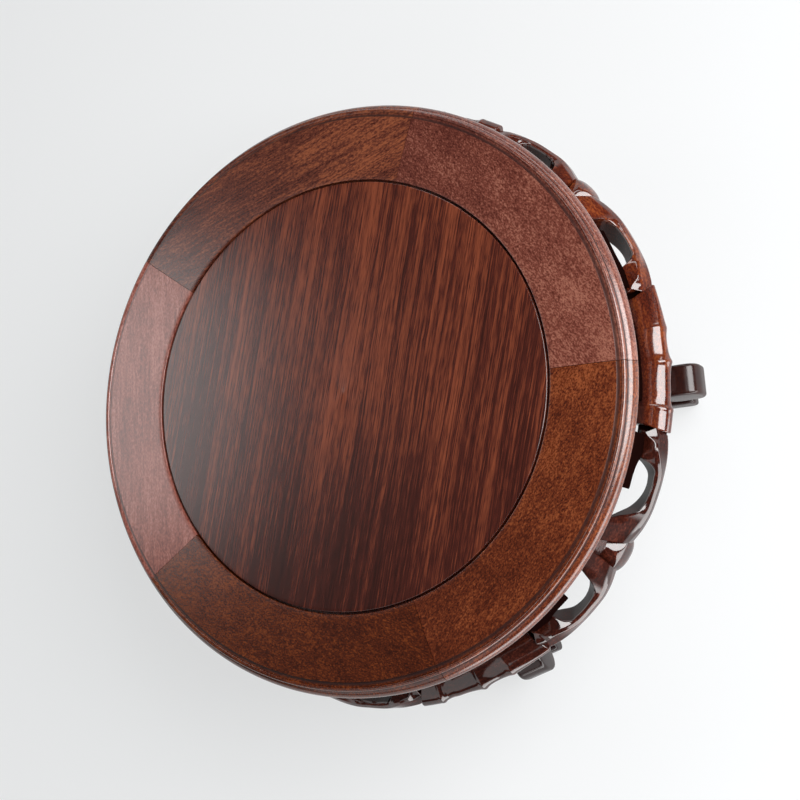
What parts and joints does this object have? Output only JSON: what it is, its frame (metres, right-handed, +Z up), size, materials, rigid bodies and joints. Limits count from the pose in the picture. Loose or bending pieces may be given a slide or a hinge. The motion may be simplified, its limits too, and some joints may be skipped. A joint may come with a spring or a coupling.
{
  "type": "display stand",
  "caption": "Round low hardwood display stand: flush panel in a moulded frame on scroll-footed legs with bamboo-carved shoulders and openwork aprons.",
  "frame": {"origin": "on the floor, at the centre of the stand", "axes": "+Z up, -Y towards leg_1"},
  "size_m": [0.2608, 0.2613, 0.12],
  "materials": {
    "panel_wood": "straight-grained rosewood, wax over satin varnish",
    "frame_wood": "red-brown hardwood, satin varnish",
    "carved_wood": "carved red-brown hardwood, gloss varnish",
    "inner_wood": "planed, unfinished"
  },
  "bodies": {
    "root": {"panel": "panel_wood", "batten": "inner_wood", "felly_1": "frame_wood", "felly_2": "frame_wood", "felly_3": "frame_wood", "felly_4": "frame_wood", "felly_5": "frame_wood", "spline_1": "inner_wood", "spline_2": "inner_wood", "spline_3": "inner_wood", "spline_4": "inner_wood", "spline_5": "inner_wood", "leg_1": "carved_wood", "leg_2": "carved_wood", "leg_3": "carved_wood", "leg_4": "carved_wood", "leg_5": "carved_wood", "apron_1": "carved_wood", "apron_2": "carved_wood", "apron_3": "carved_wood", "apron_4": "carved_wood", "apron_5": "carved_wood"}
  },
  "joints": []
}
